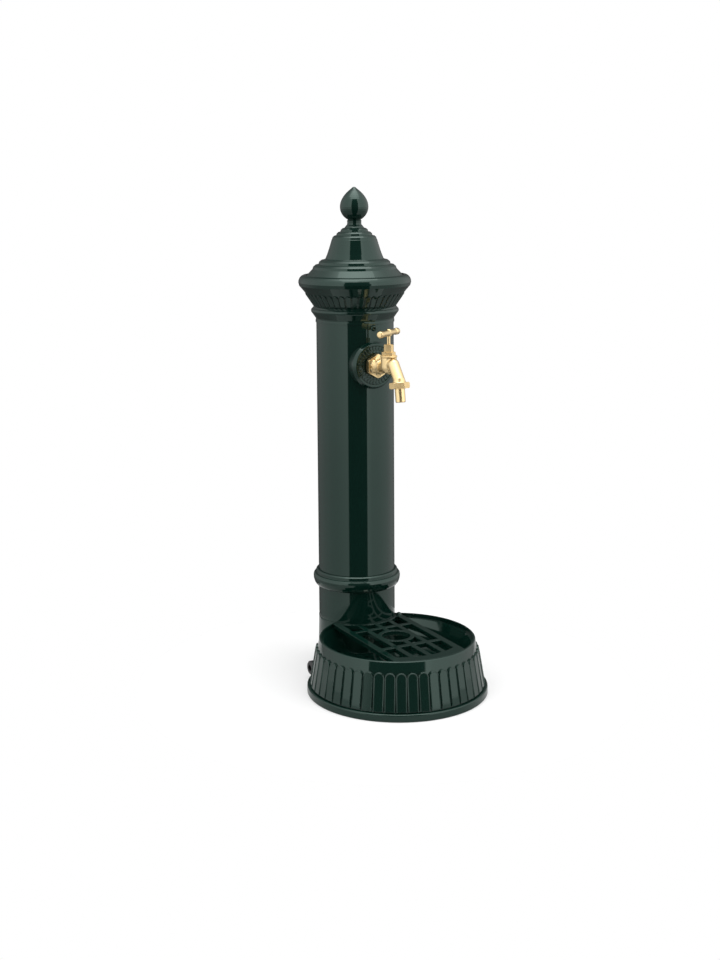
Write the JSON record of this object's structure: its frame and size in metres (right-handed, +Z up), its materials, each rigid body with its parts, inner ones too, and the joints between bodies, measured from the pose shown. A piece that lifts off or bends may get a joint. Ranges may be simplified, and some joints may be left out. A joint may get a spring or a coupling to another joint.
{
  "type": "standing garden fountain",
  "caption": "Standing garden fountain: round footed basin with a lift-out grate, round column with a bell-shaped cap and finial, and a brass crossbar tap with a hose tail.",
  "frame": {"origin": "on the ground, under the middle of the fountain's overall width and depth", "axes": "+Z up, -Y forwards out of the tap, +X to the fountain's left as one faces it from behind the tap"},
  "size_m": [0.26, 0.3374, 0.72],
  "materials": {
    "green_paint": "dark green gloss coating",
    "brass": "polished",
    "zinc_steel": "zinc plated",
    "stainless": "brushed stainless",
    "copper": "drawn copper pipe",
    "rubber": "black rubber",
    "black_plastic": "matt black plastic"
  },
  "bodies": {
    "fountain": {"basin": "green_paint", "drain_strainer": "stainless", "drain_screw": "stainless", "drain_tail": "stainless", "drain_gasket": "rubber", "column_socket": "green_paint", "column_tube": "green_paint", "capital": "green_paint", "roof": "green_paint", "finial": "green_paint", "tie_rod": "zinc_steel", "rod_washer": "zinc_steel", "rod_nut": "zinc_steel", "rosette": "green_paint", "rosette_screw": "green_paint", "tap_washer": "rubber", "tap_body": "brass", "tap_saddle": "zinc_steel", "tap_backnut": "brass", "tap_elbow": "brass", "supply_pipe": "copper", "pipe_nuts": "brass", "base_elbow": "brass", "inlet_pipe": "copper", "supply_connector": "black_plastic", "connector_seal": "rubber", "bonnet": "brass", "packing_nut": "brass", "gland_packing": "rubber", "union_nut": "brass", "union_washer": "rubber", "hose_tail": "brass"},
    "grate": {"grate": "green_paint"},
    "valve": {"valve_jumper": "brass", "valve_washer": "rubber"},
    "handle": {"spindle": "brass", "handle_bar": "brass"}
  },
  "joints": [
    {"name": "grate_lift", "type": "slide", "parent": "fountain", "child": "grate", "axis": [0, 0, 1], "range_m": [0, 0.045]},
    {"name": "valve_lift", "type": "slide", "parent": "fountain", "child": "valve", "axis": [0, 0, 1], "range_m": [0, 0.00375]},
    {"name": "handle_turn", "type": "hinge", "parent": "valve", "child": "handle", "pos_m": [0, -0.01715, 0.5], "axis": [0, 0, 1], "range_deg": [0, 540]}
  ],
  "couplings": [
    {"joint": "handle_turn", "follows": "valve_lift", "rad_per_m": 2513.3}
  ]
}
